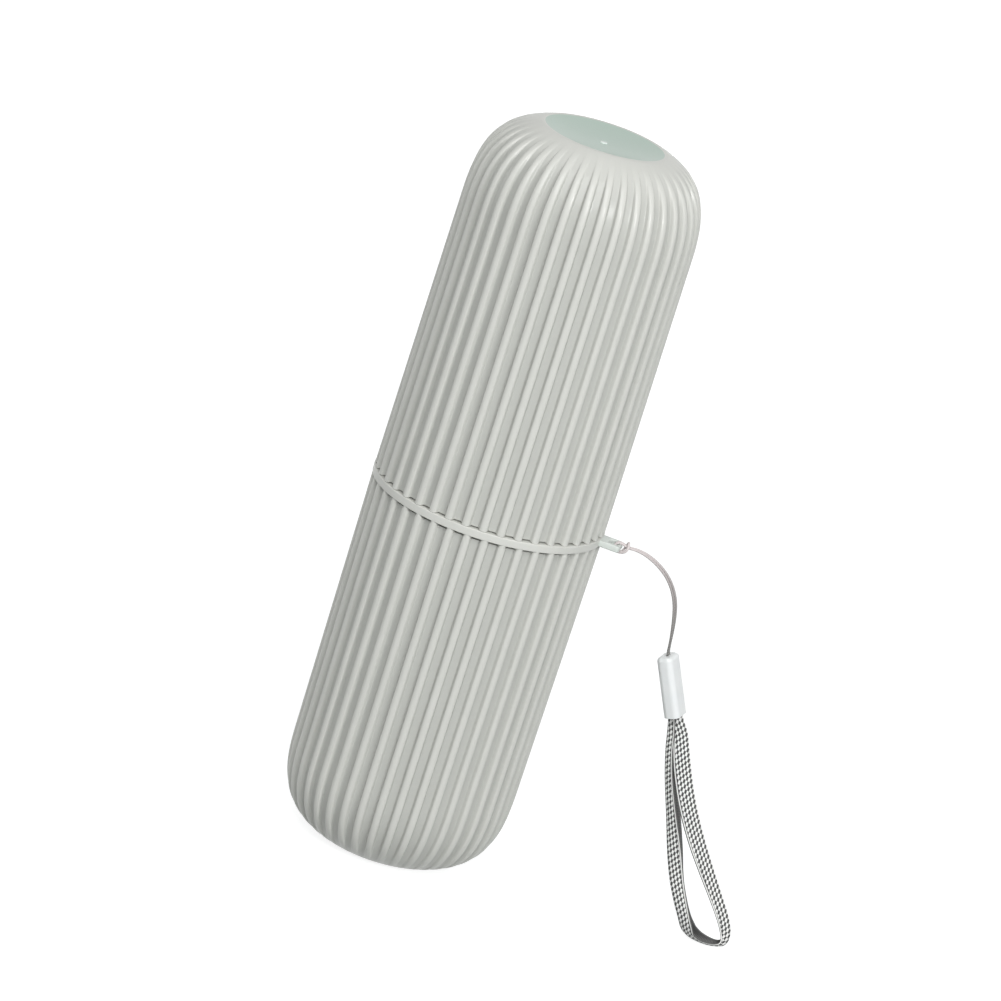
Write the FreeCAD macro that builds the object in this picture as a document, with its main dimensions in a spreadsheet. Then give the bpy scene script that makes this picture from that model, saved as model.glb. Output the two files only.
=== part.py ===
"""Toothbrush travel case: two ribbed cups that push together, with a wrist strap on the rim's lug.

The case stands on its flat end. Its axis is Z, the origin is the middle of the base and the lug points along +X.
Lengths are in millimetres and angles in degrees.
"""

import FreeCAD
import Part
import Sketcher
import math
import os

V = FreeCAD.Vector
ALONG_X = V(1, 0, 0)
ALONG_Y = V(0, 1, 0)
UP = V(0, 0, 1)

# Driving sizes: alias, value and what it is.
SIZES = [
    ("case_length", 210, "base to top of the closed case"),
    ("ring_radius", 32.8, "rim ring, the widest part of the cups"),
    ("crest_drop", 0.1, "rim ring's edge to the rib crests beside it"),
    ("side_draft", 0.6, "how far the crests draw in from the seam to a domed end"),
    ("dome_height", 24.8, "height of a domed end"),
    ("dome_fullness", 1.2, "weight of the dome's middle control point"),
    ("end_radius", 17.3, "smooth flat at the middle of a domed end"),
    ("end_slope", 16.5, "dome's slope where it meets the flat"),
    ("rib_count", 41, "ribs round a cup"),
    ("rib_depth", 1.1, "crest to groove"),
    ("rib_share", 0.5, "crest's share of the pitch at half depth"),
    ("flank_share", 0.07, "one flank's share of the pitch"),
    ("rib_crown", 0.2, "how far a crest falls away at its edges"),
    ("lower_turn", 1.2, "turn of the lower ribs about the axis"),
    ("upper_turn", -1.2, "turn of the upper ribs about the axis"),
    ("seam_height", 105.2, "top of the rim ring"),
    ("seam_gap", 0.2, "rim ring to cap"),
    ("ring_height", 2.2, "rim ring"),
    ("ring_round", 0.3, "rounding of the ring's top edge"),
    ("cap_wall", 1.1, "cap's wall at a groove"),
    ("cap_roof", 2, "cap's end wall"),
    ("cap_inner_round", 18, "inside corner of the cap's end"),
    ("fit_clearance", 0.2, "neck to cap, on the radius"),
    ("neck_height", 12, "neck above the rim ring"),
    ("neck_wall", 1, "neck's wall"),
    ("neck_lead", 0.5, "chamfer that leads the cap on"),
    ("cup_floor", 2.2, "lower cup's end wall"),
    ("cup_inner_round", 14, "inside corner of the lower cup's end"),
    ("gate_radius", 1.1, "moulding mark in the middle of the cap's end"),
    ("gate_height", 0.25, "moulding mark over the cap's end"),
    ("gate_round", 0.2, "rounding of the moulding mark's edge"),
    ("lug_reach", 5.6, "rim ring to the lug's tip"),
    ("lug_root", 1.5, "lug inside the rim ring"),
    ("lug_width", 6.4, "lug along the rim"),
    ("lug_height", 1.8, "lug's thickness"),
    ("lug_bar", 1, "lug's outer bar, which holds the cord"),
    ("lug_hole_length", 2.6, "lug's hole, outwards"),
    ("lug_hole_width", 3.6, "lug's hole, along the rim"),
    ("lug_corner", 0.9, "rounding of the lug's outline"),
    ("lug_round", 0.4, "rounding of the lug's edges"),
    ("strap_azimuth", 16.3, "upright plane that the strap lies in, from +X"),
    ("cord_diameter", 0.6, "cord"),
    ("strand_pitch", 1, "the cord's two strands, middle to middle"),
    ("hitch_clearance", 0.1, "cord to the lug's bar"),
    ("ferrule_out", 22.1, "lug's bar to the ferrule's top, outwards"),
    ("ferrule_drop", 26.2, "lug's bar to the ferrule's top, down"),
    ("ferrule_tilt", 24.2, "ferrule's lean from upright"),
    ("ferrule_sway", 4, "how far the ferrule's lower end hangs out of the strap's plane"),
    ("ferrule_twist", 31, "ferrule's turn about its own length"),
    ("ferrule_length", 17.4, "ferrule"),
    ("ferrule_width", 6.6, "ferrule"),
    ("ferrule_thickness", 4.7, "ferrule"),
    ("ferrule_corner", 1.6, "rounding of the ferrule's section"),
    ("ferrule_round", 1.1, "rounding of the ferrule's top"),
    ("slot_depth", 5, "ferrule's slot for the webbing"),
    ("cord_hole_depth", 4, "ferrule's hole for the cord"),
    ("ferrule_clearance", 0.15, "room round the cord and the webbing in the ferrule"),
    ("webbing_width", 5.4, "webbing"),
    ("webbing_thickness", 1, "webbing"),
    ("leg_gap", 0.3, "between the webbing's two legs in the ferrule"),
]

# The crossing bight of the cord's hitch: distance out past the cord round the bar, distance to the side, and height
# over the bar.
HITCH_ROUTE = [
    (0.3, 1.45, -0.5),
    (0.7, 1.45, 0.9),
    (0.7, 0.4, 1.8),
]

# The cord's two strands from the lug to the ferrule: distance out from the bar in the strap's plane, height over the
# bar, and how far the pair is rolled from side by side along the bar to one over the other.
STRAND_ROUTE = [
    (2.4, 0.45, 0),
    (4.6, 0.55, 10),
    (7.4, 0.05, 35),
    (10.4, -1.2, 60),
    (13.3, -3.0, 80),
    (15.8, -5.2, 90),
    (17.9, -8.0, 90),
    (19.5, -11.3, 80),
    (20.5, -15.0, 60),
    (21.2, -18.9, 35),
    (21.7, -22.8, 10),
]

# The webbing's loop: distance out from the bar along the strap's plane, distance behind that plane, height over the
# bar, and how far its far edge leans out of the loop.
WEBBING_ROUTE = [
    (29.8, -1.2, -47.3, -22),
    (30.6, -1.8, -51.8, -4),
    (32.9, -2.8, -59.7, 17),
    (36.8, -4.0, -69.6, 34),
    (40.0, -5.2, -78.4, 40),
    (43.0, -6.4, -86.5, 36),
    (45.9, -7.2, -92.2, 33),
    (48.4, -7.3, -96.5, 33),
    (50.2, -6.8, -99.4, 26),
    (52.0, -5.8, -101.2, 13),
    (55.4, -5.6, -102.4, 12),
    (59.4, -6.4, -102.4, 22),
    (61.7, -7.1, -101.3, 25),
    (61.6, -7.1, -98.3, 28),
    (59.6, -6.6, -94.3, 30),
    (55.3, -5.8, -88.3, 38),
    (50.5, -4.8, -81.7, 48),
    (45.3, -3.8, -74.2, 55),
    (40.2, -2.9, -65.5, 56),
    (36.1, -2.1, -56.6, 51),
    (33.4, -1.6, -49.4, 43),
    (32.2, -1.3, -46.0, 36),
]


def make_sheet(document):
    """The spreadsheet of driving sizes."""
    table = document.addObject("Spreadsheet::Sheet", "sizes")
    for row, (alias, value, note) in enumerate(SIZES, start=1):
        table.set(f"A{row}", note)
        table.set(f"B{row}", str(value))
        table.setAlias(f"B{row}", alias)
    document.recompute()
    return table


doc = FreeCAD.newDocument("travel_case")
sheet = make_sheet(doc)


def size(alias):
    """A driving size, as a number."""
    return float(sheet.get(alias))


def bind(item, expressions):
    """Ties an object's properties to the sheet."""
    for name, expression in expressions.items():
        item.setExpression(name, expression)
    return item


def add_cylinder(name, radius, height, base):
    """A round solid on the axis, from expressions."""
    item = doc.addObject("Part::Cylinder", name)
    return bind(item, {"Radius": radius, "Height": height, "Placement.Base.z": base})


def add_cone(name, bottom_radius, top_radius, height, base):
    """A tapered round solid on the axis, from expressions."""
    item = doc.addObject("Part::Cone", name)
    bind(item, {"Radius1": bottom_radius, "Radius2": top_radius})
    return bind(item, {"Height": height, "Placement.Base.z": base})


def add_fuse(name, members):
    """Several solids as one."""
    item = doc.addObject("Part::MultiFuse", name)
    item.Shapes = members
    return item


def add_cut(name, base, tool):
    """One solid less another."""
    item = doc.addObject("Part::Cut", name)
    item.Base = base
    item.Tool = tool
    return item


def soften(name, kind, base, amount, wanted):
    """A Part::Fillet or Part::Chamfer on the edges of a solid that a test picks out."""
    doc.recompute()
    item = doc.addObject(kind, name)
    item.Base = base
    picked = [number for number, edge in enumerate(base.Shape.Edges, start=1) if wanted(edge)]
    item.Edges = [(number, amount, amount) for number in picked]
    return item


def is_rim_at(height):
    """A test for the round edge at that height."""
    return lambda edge: edge.BoundBox.ZLength < 1e-6 and abs(edge.BoundBox.ZMin - height) < 1e-6


def is_upright(edge):
    """Whether an edge runs along Z."""
    return edge.BoundBox.XLength < 1e-6 and edge.BoundBox.YLength < 1e-6


# Ribbed outsides


def pitch_strips():
    """One rib pitch as strips: each one's control points across it, as shares of the pitch and of the depth."""
    crest = (size("rib_share") - size("flank_share")) / 2
    groove = (size("rib_share") + size("flank_share")) / 2
    crown = size("rib_crown") / size("rib_depth")
    return [
        [(-crest, crown), (0, -crown), (crest, crown)],
        [(crest, crown), (groove, 1)],
        [(groove, 1), (0.5, 1), (1 - groove, 1)],
        [(1 - groove, 1), (1 - crest, crown)],
    ]


def strip_surface(strip, rows, start):
    """One strip of ribbed wall. Each row is the crest's radius and height, the groove's, and a weight."""
    pitch = 2 * math.pi / size("rib_count")
    across = len(strip) - 1
    along = len(rows) - 1
    half_angle = (strip[-1][0] - strip[0][0]) * pitch / 2
    poles = []
    weights = []
    for index, (share, depth) in enumerate(strip):
        angle = start + share * pitch
        # A pole between a strip's edges stands on their tangents, so that the strip is round and not a chord.
        stretch = 1 / math.cos(half_angle) if 0 < index < across else 1
        line = []
        for crest, groove, _ in rows:
            radius = stretch * (crest[0] + depth * (groove[0] - crest[0]))
            height = crest[1] + depth * (groove[1] - crest[1])
            line.append(V(radius * math.cos(angle), radius * math.sin(angle), height))
        poles.append(line)
        weights.append([weight for *_, weight in rows])
    ends = [0, 1]
    surface = Part.BSplineSurface()
    surface.buildFromPolesMultsKnots(
        poles, [across + 1] * 2, [along + 1] * 2, ends, ends, False, False, across, along, weights
    )
    return surface


def rib_rows(mouth_height, end_height):
    """The rows of a cup's side and of its domed end, where the grooves fade out at the flat."""
    upward = math.copysign(1, end_height - mouth_height)
    mouth = size("ring_radius") - size("crest_drop")
    shoulder = mouth - size("side_draft")
    end = size("end_radius")
    depth = size("rib_depth")
    slope = math.radians(size("end_slope"))
    start = end_height - upward * size("dome_height")
    crest_height = end_height - upward * (shoulder - end) * math.tan(slope)
    groove_height = crest_height + upward * depth * (math.tan(slope) - 1 / math.cos(slope))
    shoulder_row = ((shoulder, start), (shoulder - depth, start), 1)
    side = [((mouth, mouth_height), (mouth - depth, mouth_height), 1), shoulder_row]
    middle_row = ((shoulder, crest_height), (shoulder - depth, groove_height), size("dome_fullness"))
    dome = [shoulder_row, middle_row, ((end, end_height), (end, end_height), 1)]
    return side, dome


def ribbed_solid(mouth_height, end_height, turn):
    """A solid with a ribbed side and a domed end."""
    side_rows, dome_rows = rib_rows(mouth_height, end_height)
    faces = []
    mouth_edges = []
    end_edges = []
    for index in range(round(size("rib_count"))):
        start = math.radians(turn) + index * 2 * math.pi / size("rib_count")
        for strip in pitch_strips():
            side = strip_surface(strip, side_rows, start)
            dome = strip_surface(strip, dome_rows, start)
            faces += [side.toShape(), dome.toShape()]
            mouth_edges.append(side.vIso(0).toShape())
            end_edges.append(dome.vIso(1).toShape())
    faces += [Part.Face(Part.Wire(mouth_edges)), Part.Face(Part.Wire(end_edges))]
    shell = Part.makeShell(faces)
    shell.sewShape()
    return Part.makeSolid(shell)


# Cups

PAST = 1  # how far a cutting solid runs on past the face that it opens
RING_BASE = "(sizes.seam_height - sizes.ring_height)"
NECK_TOP = "(sizes.seam_height + sizes.neck_height)"
CAP_BASE = "(sizes.seam_height + sizes.seam_gap)"
CAP_SIDE = f"(sizes.case_length - sizes.dome_height - {CAP_BASE})"
ROOF = "(sizes.case_length - sizes.cap_roof)"
# The neck's bore is straight and the outside draws in, so the wall at a groove is thinnest at the bore's top.
BORE_TOP = f"({NECK_TOP} + {PAST})"
BORE_DRAFT = f"(sizes.side_draft * ({BORE_TOP} - {CAP_BASE}) / {CAP_SIDE})"
GROOVE = "(sizes.ring_radius - sizes.crest_drop - sizes.rib_depth)"
BORE = f"({GROOVE} - {BORE_DRAFT} - sizes.cap_wall)"
BORE_END = f"({GROOVE} - sizes.side_draft - sizes.cap_wall)"
NECK = f"({BORE} - sizes.fit_clearance)"
NECK_INSIDE = f"({NECK} - sizes.neck_wall)"
CUP_INSIDE_END = f"({NECK_INSIDE} - sizes.side_draft)"
ROUND_SHARE = 0.42  # the most of a wall that the rounding of one edge may take


def make_lug():
    """The tongue on the rim ring, with the hole that leaves an outer bar for the cord."""
    tip = "sizes.ring_radius + sizes.lug_reach"
    base = "sizes.seam_height - (sizes.ring_height + sizes.lug_height) / 2"
    block = doc.addObject("Part::Box", "lug_block")
    bind(block, {"Length": "sizes.lug_reach + sizes.lug_root", "Width": "sizes.lug_width"})
    bind(block, {"Height": "sizes.lug_height", "Placement.Base.x": "sizes.ring_radius - sizes.lug_root"})
    bind(block, {"Placement.Base.y": "-sizes.lug_width / 2", "Placement.Base.z": base})
    tip_x = size("ring_radius") + size("lug_reach")
    outline = soften(
        "lug_outline",
        "Part::Fillet",
        block,
        size("lug_corner"),
        lambda edge: is_upright(edge) and abs(edge.BoundBox.XMax - tip_x) < 1e-6,
    )
    hole = doc.addObject("Part::Box", "lug_hole_block")
    bind(hole, {"Length": "sizes.lug_hole_length", "Width": "sizes.lug_hole_width"})
    bind(hole, {"Height": f"sizes.lug_height + 2 * {PAST}", "Placement.Base.z": f"{base} - {PAST}"})
    bind(hole, {"Placement.Base.x": f"{tip} - sizes.lug_bar - sizes.lug_hole_length"})
    bind(hole, {"Placement.Base.y": "-sizes.lug_hole_width / 2"})
    rounded_hole = soften("lug_hole", "Part::Fillet", hole, size("lug_corner"), is_upright)
    holed = add_cut("lug_holed", outline, rounded_hole)
    root_x = size("ring_radius") - size("lug_root")
    edge_round = min(size("lug_round"), ROUND_SHARE * size("lug_bar"), ROUND_SHARE * size("lug_height"))
    return soften(
        "lug",
        "Part::Fillet",
        holed,
        edge_round,
        lambda edge: edge.BoundBox.ZLength < 1e-6 and edge.BoundBox.XMax > root_x + 1e-6,
    )


def inside_corner(name, cone, radius):
    """The rounding of an inside corner: it starts within the flat end, so the dome's wall stays whole."""
    return max(size(name), float(cone.evalExpression(radius)) - size("end_radius"))


def make_lower_cup():
    """The lower cup: ribs, rim ring, lug and neck, hollowed by one drafted bore."""
    ribs = doc.addObject("Part::Feature", "lower_ribs")
    ring_base = size("seam_height") - size("ring_height")
    ribs.Shape = ribbed_solid(ring_base, 0, size("lower_turn"))
    ring_block = add_cylinder("ring_block", "sizes.ring_radius", "sizes.ring_height", RING_BASE)
    ring = soften("rim_ring", "Part::Fillet", ring_block, size("ring_round"), is_rim_at(size("seam_height")))
    neck_block = add_cylinder("neck_block", NECK, f"{NECK_TOP} - {RING_BASE}", RING_BASE)
    neck_top = size("seam_height") + size("neck_height")
    neck = soften("neck", "Part::Chamfer", neck_block, size("neck_lead"), is_rim_at(neck_top))
    outside = add_fuse("lower_outside", [ribs, ring, neck, make_lug()])
    depth = f"{NECK_TOP} + {PAST} - sizes.cup_floor"
    bore = add_cone("lower_bore", CUP_INSIDE_END, NECK_INSIDE, depth, "sizes.cup_floor")
    corner = inside_corner("cup_inner_round", bore, CUP_INSIDE_END)
    hollow = soften("lower_hollow", "Part::Fillet", bore, corner, is_rim_at(size("cup_floor")))
    return add_cut("lower_cup", outside, hollow)


def make_upper_cup():
    """The cap: ribs, a straight bore for the neck, a drafted bore above it and a moulding mark on its end."""
    cap_base = size("seam_height") + size("seam_gap")
    ribs = doc.addObject("Part::Feature", "upper_ribs")
    ribs.Shape = ribbed_solid(cap_base, size("case_length"), size("upper_turn"))
    fit_bore = add_cylinder("fit_bore", BORE, f"{BORE_TOP} - {CAP_BASE} + {PAST}", f"{CAP_BASE} - {PAST}")
    taper = add_cone("cap_taper", BORE, BORE_END, f"{ROOF} - {BORE_TOP}", BORE_TOP)
    roof = size("case_length") - size("cap_roof")
    corner = inside_corner("cap_inner_round", taper, BORE_END)
    hollow = soften("cap_hollow", "Part::Fillet", taper, corner, is_rim_at(roof))
    hollowed = add_cut("cap_hollowed", ribs, add_fuse("cap_space", [fit_bore, hollow]))
    gate_height = "sizes.gate_height + sizes.cap_roof / 2"
    gate_base = "sizes.case_length - sizes.cap_roof / 2"
    gate_block = add_cylinder("gate_block", "sizes.gate_radius", gate_height, gate_base)
    gate_top = size("case_length") + size("gate_height")
    gate = soften("gate_mark", "Part::Fillet", gate_block, size("gate_round"), is_rim_at(gate_top))
    return add_fuse("upper_cup", [hollowed, gate])


# Strap

BEND_SHARE = 0.45  # how much of the shorter run beside it a bend of the cord takes


def bar_centre():
    """The middle of the lug's outer bar, where the strap hangs."""
    out = size("ring_radius") + size("lug_reach") - size("lug_bar") / 2
    return V(out, 0, size("seam_height") - size("ring_height") / 2)


def in_strap_plane(out, back, height):
    """A point of the strap, measured from the bar: out along the strap's plane, back behind it, and up."""
    turn = FreeCAD.Rotation(UP, size("strap_azimuth"))
    return turn.multVec(V(out, back, height))


def ferrule_turn():
    """How the ferrule is turned from standing upright with its width along Y."""
    plane = FreeCAD.Rotation(UP, size("strap_azimuth"))
    sway = FreeCAD.Rotation(ALONG_X, -size("ferrule_sway"))
    tilt = FreeCAD.Rotation(ALONG_Y, -size("ferrule_tilt"))
    return plane * sway * tilt * FreeCAD.Rotation(UP, -size("ferrule_twist"))


def ferrule_base():
    """The middle of the ferrule's lower end, measured from the bar."""
    top = in_strap_plane(size("ferrule_out"), 0, -size("ferrule_drop"))
    return top - ferrule_turn().multVec(V(0, 0, size("ferrule_length")))


def in_ferrule(across, wide, height):
    """A point measured from the middle of the ferrule's lower end, along its own directions."""
    return ferrule_base() + ferrule_turn().multVec(V(across, wide, height))


def strand(side):
    """The points of one strand, from inside the ferrule's hole up to the lug."""
    half = side * size("strand_pitch") / 2
    bottom = size("ferrule_length") - size("cord_hole_depth") + size("ferrule_clearance")
    points = [in_ferrule(0, half, bottom), in_ferrule(0, half, size("ferrule_length") + size("ferrule_clearance"))]
    ends = [(0, 0)] + [(out, height) for out, height, _ in STRAND_ROUTE]
    ends.append((size("ferrule_out"), -size("ferrule_drop")))
    for index in range(len(STRAND_ROUTE), 0, -1):
        out, height, roll = STRAND_ROUTE[index - 1]
        run = V(ends[index + 1][0] - ends[index - 1][0], 0, ends[index + 1][1] - ends[index - 1][1]).normalize()
        back = half * math.cos(math.radians(roll))
        over = half * math.sin(math.radians(roll))
        points.append(in_strap_plane(out - over * run.z, back, height + over * run.x))
    return points


def hitch_half(side):
    """The points of one half of the hitch: round the bar, then up beside the strands to the crossing bight."""
    inner = max(size("lug_height"), size("lug_bar")) / 2 + size("hitch_clearance") + size("cord_diameter") / 2
    sixth = math.pi / 3
    corner = inner / math.cos(sixth / 2)
    along = side * size("strand_pitch") / 2
    points = []
    # Round the bar the cord follows a hexagon, all but the corner that points outwards.
    for count in range(1, 6):
        points.append(V(corner * math.cos(count * sixth), along, corner * math.sin(count * sixth)))
    for out, beside, height in HITCH_ROUTE:
        points.append(in_strap_plane(corner + out, side * beside, height))
    return points


def cord_route():
    """All points of the cord, from the ferrule round the lug's bar and back to the ferrule, measured from the bar."""
    there = strand(1) + hitch_half(1)
    back = strand(-1) + hitch_half(-1)
    return there + back[::-1]


def rounded_path(points):
    """Edges of straight runs joined by tangent arcs, each as large as its runs allow, and the arcs' radii."""
    edges = []
    radii = []
    last = points[0]
    for before, corner, after in zip(points, points[1:], points[2:]):
        inward = (before - corner).normalize()
        onward = (after - corner).normalize()
        half_turn = (math.pi - inward.getAngle(onward)) / 2
        trim = BEND_SHARE * min((before - corner).Length, (after - corner).Length)
        radius = trim / math.tan(half_turn)
        middle = (inward + onward).normalize() * (radius / math.cos(half_turn) - radius)
        start = corner + inward * trim
        end = corner + onward * trim
        edges.append(Part.LineSegment(last, start).toShape())
        edges.append(Part.Arc(start, corner + middle, end).toShape())
        radii.append(radius)
        last = end
    edges.append(Part.LineSegment(last, points[-1]).toShape())
    return edges, radii


def least_gap(path, diameter):
    """The least distance between the surfaces of a cord's stretches that are over three diameters apart along it."""
    points = path.discretize(Distance=diameter / 2)
    apart = 6
    gap = math.inf
    for index, point in enumerate(points):
        for other in points[index + apart :]:
            gap = min(gap, (point - other).Length - diameter)
    return gap


def make_cord():
    """The doubled cord: one tube from the ferrule round the lug's bar and back."""
    points = cord_route()
    edges, radii = rounded_path(points)
    path = Part.Wire(edges)
    radius = size("cord_diameter") / 2
    section = Part.Wire(Part.makeCircle(radius, points[0], points[1] - points[0]))
    item = doc.addObject("Part::Feature", "strap_cord")
    item.Shape = path.makePipeShell([section], True, False)
    item.Placement = FreeCAD.Placement(bar_centre(), FreeCAD.Rotation())
    share = item.Shape.Volume / (math.pi * radius**2 * path.Length)
    print(f"cord: length {path.Length:.1f} mm, volume {share:.4f} of section times length")
    print("cord radii:", " ".join(f"{value:.1f}" for value in radii))
    print(f"cord: least gap to itself {least_gap(path, 2 * radius):.2f} mm")
    return item


def add_sketch(body, name, width, height, lift):
    """A rectangle about the origin on the body's XY plane, lifted along Z, with its sides bound to expressions."""
    sketch = body.newObject("Sketcher::SketchObject", name)
    plane = next(item for item in body.Origin.OriginFeatures if item.Role == "XY_Plane")
    sketch.AttachmentSupport = [(plane, "")]
    sketch.MapMode = "FlatFace"
    sketch.setExpression("AttachmentOffset.Base.z", lift)
    corners = [V(-1, -1, 0), V(1, -1, 0), V(1, 1, 0), V(-1, 1, 0)]
    for start, end in zip(corners, corners[1:] + corners[:1]):
        sketch.addGeometry(Part.LineSegment(start, end))
    for line in range(4):
        sketch.addConstraint(Sketcher.Constraint("Coincident", line, 2, (line + 1) % 4, 1))
        sketch.addConstraint(Sketcher.Constraint("Vertical" if line % 2 else "Horizontal", line))
    sketch.addConstraint(Sketcher.Constraint("Symmetric", 0, 1, 2, 1, -1, 1))
    for line, name_of_side, expression in ((0, "width", width), (1, "height", height)):
        number = sketch.addConstraint(Sketcher.Constraint("Distance", line, 2))
        sketch.renameConstraint(number, name_of_side)
        sketch.setExpression(f"Constraints.{name_of_side}", expression)
    return sketch


def add_pocket(body, sketch, name, depth, upwards):
    """A blind hole of that depth from a sketch."""
    pocket = body.newObject("PartDesign::Pocket", name)
    pocket.Profile = sketch
    pocket.Reversed = upwards
    pocket.setExpression("Length", depth)
    return pocket


def add_rounding(body, name, base, radius, wanted):
    """A PartDesign fillet on the edges that a test picks out."""
    doc.recompute()
    picked = [f"Edge{number}" for number, edge in enumerate(base.Shape.Edges, start=1) if wanted(edge)]
    fillet = body.newObject("PartDesign::Fillet", name)
    fillet.Base = (base, picked)
    fillet.setExpression("Radius", radius)
    return fillet


def make_ferrule():
    """The sleeve, standing on its lower end: a slot below takes the webbing and a hole above takes the cord."""
    body = doc.addObject("PartDesign::Body", "strap_ferrule")
    outline = add_sketch(body, "ferrule_outline", "sizes.ferrule_thickness", "sizes.ferrule_width", "0")
    pad = body.newObject("PartDesign::Pad", "ferrule_block")
    pad.Profile = outline
    pad.setExpression("Length", "sizes.ferrule_length")
    sides = add_rounding(body, "ferrule_sides", pad, "sizes.ferrule_corner", is_upright)
    doc.recompute()
    top = add_rounding(body, "ferrule_top", sides, "sizes.ferrule_round", is_rim_at(size("ferrule_length")))
    doc.recompute()
    room = "2 * sizes.ferrule_clearance"
    legs = f"2 * sizes.webbing_thickness + sizes.leg_gap + {room}"
    slot = add_sketch(body, "slot_outline", legs, f"sizes.webbing_width + {room}", "0")
    add_pocket(body, slot, "webbing_slot", "sizes.slot_depth", True)
    strands = f"sizes.strand_pitch + sizes.cord_diameter + {room}"
    hole = add_sketch(body, "hole_outline", f"sizes.cord_diameter + {room}", strands, "sizes.ferrule_length")
    add_pocket(body, hole, "cord_hole", "sizes.cord_hole_depth", False)
    doc.recompute()
    print(f"ferrule: {top.Shape.Volume:.1f} cubic mm before its slot and hole, {body.Shape.Volume:.1f} after")
    body.Placement = FreeCAD.Placement(bar_centre() + ferrule_base(), ferrule_turn())
    return body


def webbing_stations():
    """Middle and width direction of the webbing at each station, measured from the bar, slot to slot."""
    leg = (size("webbing_thickness") + size("leg_gap")) / 2
    inside = size("slot_depth") - size("ferrule_clearance")
    across = ferrule_turn().multVec(ALONG_Y)
    stations = [(in_ferrule(-leg, 0, inside), across), (in_ferrule(-leg, 0, 0), across)]
    for index, (out, back, height, lean) in enumerate(WEBBING_ROUTE):
        before = V(*WEBBING_ROUTE[max(index - 1, 0)][:3])
        after = V(*WEBBING_ROUTE[min(index + 1, len(WEBBING_ROUTE) - 1)][:3])
        run = (after - before).normalize()
        inward = run.cross(ALONG_Y).normalize()
        width = inward.cross(run) * math.cos(math.radians(lean)) - inward * math.sin(math.radians(lean))
        stations.append((in_strap_plane(out, back, height), in_strap_plane(*width)))
    stations += [(in_ferrule(leg, 0, 0), across), (in_ferrule(leg, 0, inside), across)]
    return stations


def make_webbing():
    """The woven loop: a ruled band through its stations, square to its own run at each one."""
    stations = webbing_stations()
    sections = []
    for index, (middle, width) in enumerate(stations):
        before = stations[max(index - 1, 0)][0]
        after = stations[min(index + 1, len(stations) - 1)][0]
        # The first leg bends where it leaves the slot, and its section there is square to the run below.
        if index == 1:
            before = middle + middle - after
        half_width = width * (size("webbing_width") / 2)
        half_thick = width.cross(after - before).normalize() * (size("webbing_thickness") / 2)
        corners = [half_width + half_thick, half_thick - half_width, -half_width - half_thick, half_width - half_thick]
        sections.append(Part.makePolygon([middle + corner for corner in corners + corners[:1]]))
    item = doc.addObject("Part::Feature", "strap_webbing")
    item.Shape = Part.makeLoft(sections, True, True)
    item.Placement = FreeCAD.Placement(bar_centre(), FreeCAD.Rotation())
    route = sum((b[0] - a[0]).Length for a, b in zip(stations, stations[1:]))
    lowest = item.Shape.BoundBox.ZMin
    print(f"webbing: route {route:.1f} mm, lowest point {lowest:.2f} mm over the floor")
    return item


def check(parts):
    """Stops if an object failed to build or a part isn't one valid solid."""
    for item in doc.Objects:
        if {"Invalid", "Error"} & set(item.State):
            raise RuntimeError(f"{item.Name} failed: {item.State}")
    for item in parts:
        shape = item.Shape
        if shape.isNull() or not shape.isValid() or len(shape.Solids) != 1 or shape.Volume <= 0:
            raise RuntimeError(f"{item.Name} isn't one valid solid")


def main():
    """Builds the pieces and writes each one to its own file."""
    parts = [make_lower_cup(), make_upper_cup(), make_cord(), make_ferrule(), make_webbing()]
    doc.recompute()
    check(parts)
    os.makedirs("parts", exist_ok=True)
    for item in parts:
        item.Label = item.Name
        item.Shape.exportStep(os.path.join("parts", f"{item.Label}.step"))
        box = item.Shape.BoundBox
        print(f"{item.Label}: {item.Shape.Volume / 1000:.2f} cm3, Z {box.ZMin:.2f} to {box.ZMax:.2f}")


main()
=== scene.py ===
"""The looks of the toothbrush travel case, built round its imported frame.

Sizes are in millimetres and angles in degrees, unless a name says otherwise. They become metres and
radians where a mesh, lamp or camera is made.
"""

import logging
import math
from collections.abc import Sequence
from dataclasses import dataclass
from enum import Enum

import bmesh
import bpy
from mathutils import Matrix, Vector


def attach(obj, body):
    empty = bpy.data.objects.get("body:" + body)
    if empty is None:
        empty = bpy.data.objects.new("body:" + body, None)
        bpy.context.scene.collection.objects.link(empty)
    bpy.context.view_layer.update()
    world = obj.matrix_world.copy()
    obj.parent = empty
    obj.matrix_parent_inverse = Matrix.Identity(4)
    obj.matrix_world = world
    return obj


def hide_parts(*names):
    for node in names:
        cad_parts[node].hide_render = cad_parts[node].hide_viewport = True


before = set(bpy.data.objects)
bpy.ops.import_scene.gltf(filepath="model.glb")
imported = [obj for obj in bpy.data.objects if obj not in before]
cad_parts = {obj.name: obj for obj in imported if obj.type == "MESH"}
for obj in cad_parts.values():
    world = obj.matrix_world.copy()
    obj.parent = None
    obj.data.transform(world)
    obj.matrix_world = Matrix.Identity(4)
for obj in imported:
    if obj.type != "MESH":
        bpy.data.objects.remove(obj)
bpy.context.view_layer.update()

MM = 0.001
LOG = logging.getLogger("travel_case")
SHARP_EDGE = math.radians(40)

# The Mix node's two colour inputs, which share their names with its other inputs.
MIX_A = 6
MIX_B = 7


class Body(Enum):
    """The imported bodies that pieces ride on."""

    CASE = "case"
    CAP = "cap"
    STRAP = "strap"


class Slot(Enum):
    """The record's material slots."""

    CASE = "case_plastic"
    CORD = "strap_cord"
    FERRULE = "ferrule_plastic"
    WEBBING = "webbing"


# Shared helpers


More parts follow.
